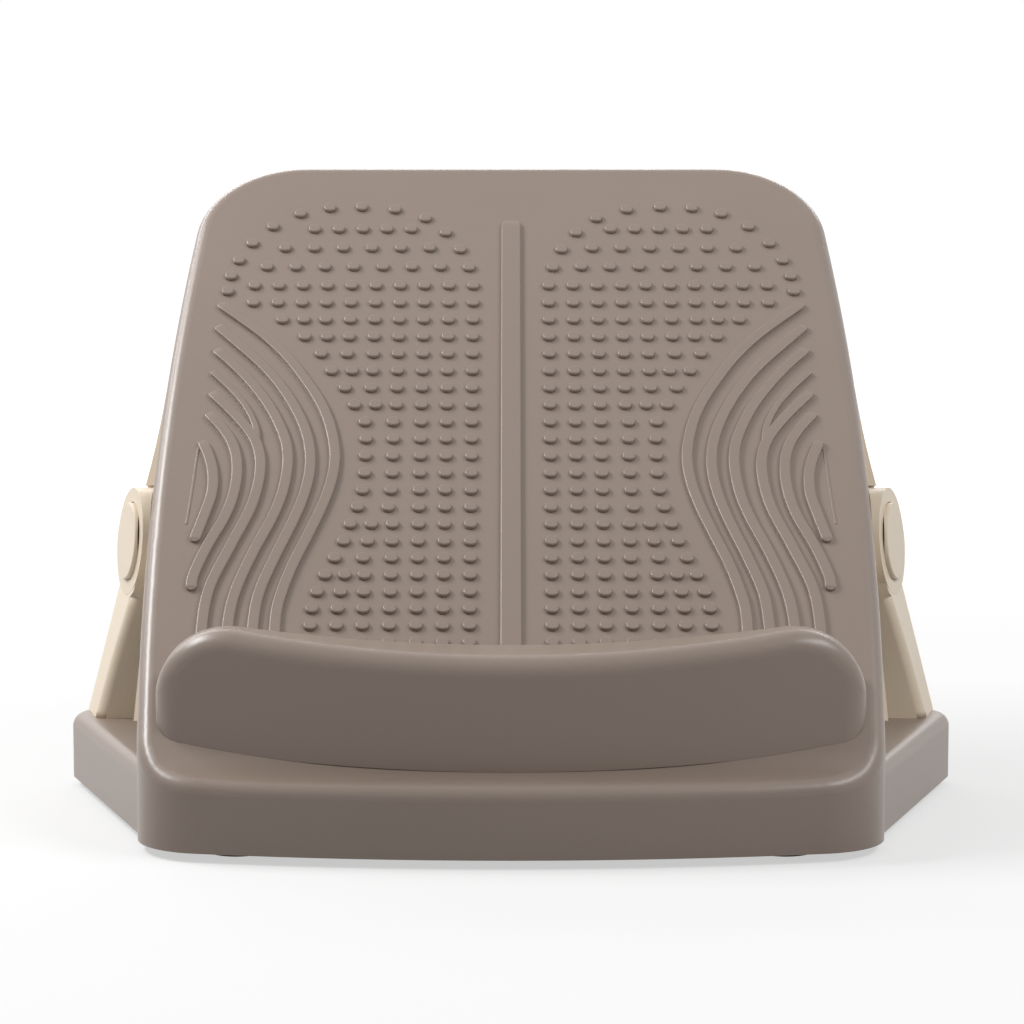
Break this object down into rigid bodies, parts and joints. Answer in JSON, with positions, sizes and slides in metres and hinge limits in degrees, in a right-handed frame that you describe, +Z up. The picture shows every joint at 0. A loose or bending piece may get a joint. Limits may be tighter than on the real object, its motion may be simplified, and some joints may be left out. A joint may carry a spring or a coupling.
{
  "type": "footrest",
  "caption": "Tilting desk footrest: studded massage tread with a saddle-shaped heel stop, on splayed legs with round release buttons at the tilt hubs and a winged base.",
  "frame": {"origin": "on the floor, at the middle of the whole footrest seen from above, at its steepest setting", "axes": "+X to the sitter's right, +Y away from the sitter towards the tread's far end, +Z up"},
  "size_m": [0.413, 0.3644, 0.2844],
  "materials": {
    "taupe_plastic": "satin moulded plastic, fine grain",
    "cream_plastic": "satin moulded plastic",
    "grey_plastic": "plain moulded plastic",
    "dark_rubber": "matt rubber",
    "friction_lining": "pressed friction lining",
    "steel": "zinc-plated steel"
  },
  "bodies": {
    "base": {"base_shell": "taupe_plastic", "bottom_cover": "taupe_plastic", "button_spring_left": "steel", "button_spring_right": "steel", "cover_screws": "steel", "friction_washer_left": "friction_lining", "friction_washer_right": "friction_lining", "leg_foot_screws": "steel", "leg_inner_shell_left": "cream_plastic", "leg_inner_shell_right": "cream_plastic", "leg_outer_shell_left": "cream_plastic", "leg_outer_shell_right": "cream_plastic", "leg_shell_screws": "steel", "pivot_sleeve_left": "grey_plastic", "pivot_sleeve_right": "grey_plastic", "rubber_foot_front_left": "dark_rubber", "rubber_foot_front_right": "dark_rubber", "rubber_foot_rear_left": "dark_rubber", "rubber_foot_rear_right": "dark_rubber", "stop_bumper_left": "dark_rubber", "stop_bumper_right": "dark_rubber"},
    "tread": {"heel_screws": "steel", "heel_stop": "taupe_plastic", "rail_screws": "steel", "side_rail_left": "cream_plastic", "side_rail_right": "cream_plastic", "tie_bar": "steel", "tie_plug_left": "grey_plastic", "tie_plug_right": "grey_plastic", "tie_screws": "steel", "tread_shell": "taupe_plastic"},
    "button_right": {"button_stem_right": "grey_plastic", "friction_pad_right": "friction_lining", "lock_plate_right": "steel", "lock_screw_right": "steel", "release_button_right": "cream_plastic"},
    "button_left": {"button_stem_left": "grey_plastic", "friction_pad_left": "friction_lining", "lock_plate_left": "steel", "lock_screw_left": "steel", "release_button_left": "cream_plastic"}
  },
  "joints": [
    {"name": "tilt", "type": "hinge", "parent": "base", "child": "tread", "pos_m": [0, 0.00179, 0.11599], "axis": [1, 0, 0], "range_deg": [-32, 0]},
    {"name": "button_right", "type": "slide", "parent": "base", "child": "button_right", "axis": [-1, 0, 0], "range_m": [0, 0.003], "stiffness_N_per_m": 600, "springref_m": -0.002, "deforming": ["button_spring_right"]},
    {"name": "button_left", "type": "slide", "parent": "base", "child": "button_left", "axis": [1, 0, 0], "range_m": [0, 0.003], "stiffness_N_per_m": 600, "springref_m": -0.002, "deforming": ["button_spring_left"]}
  ]
}
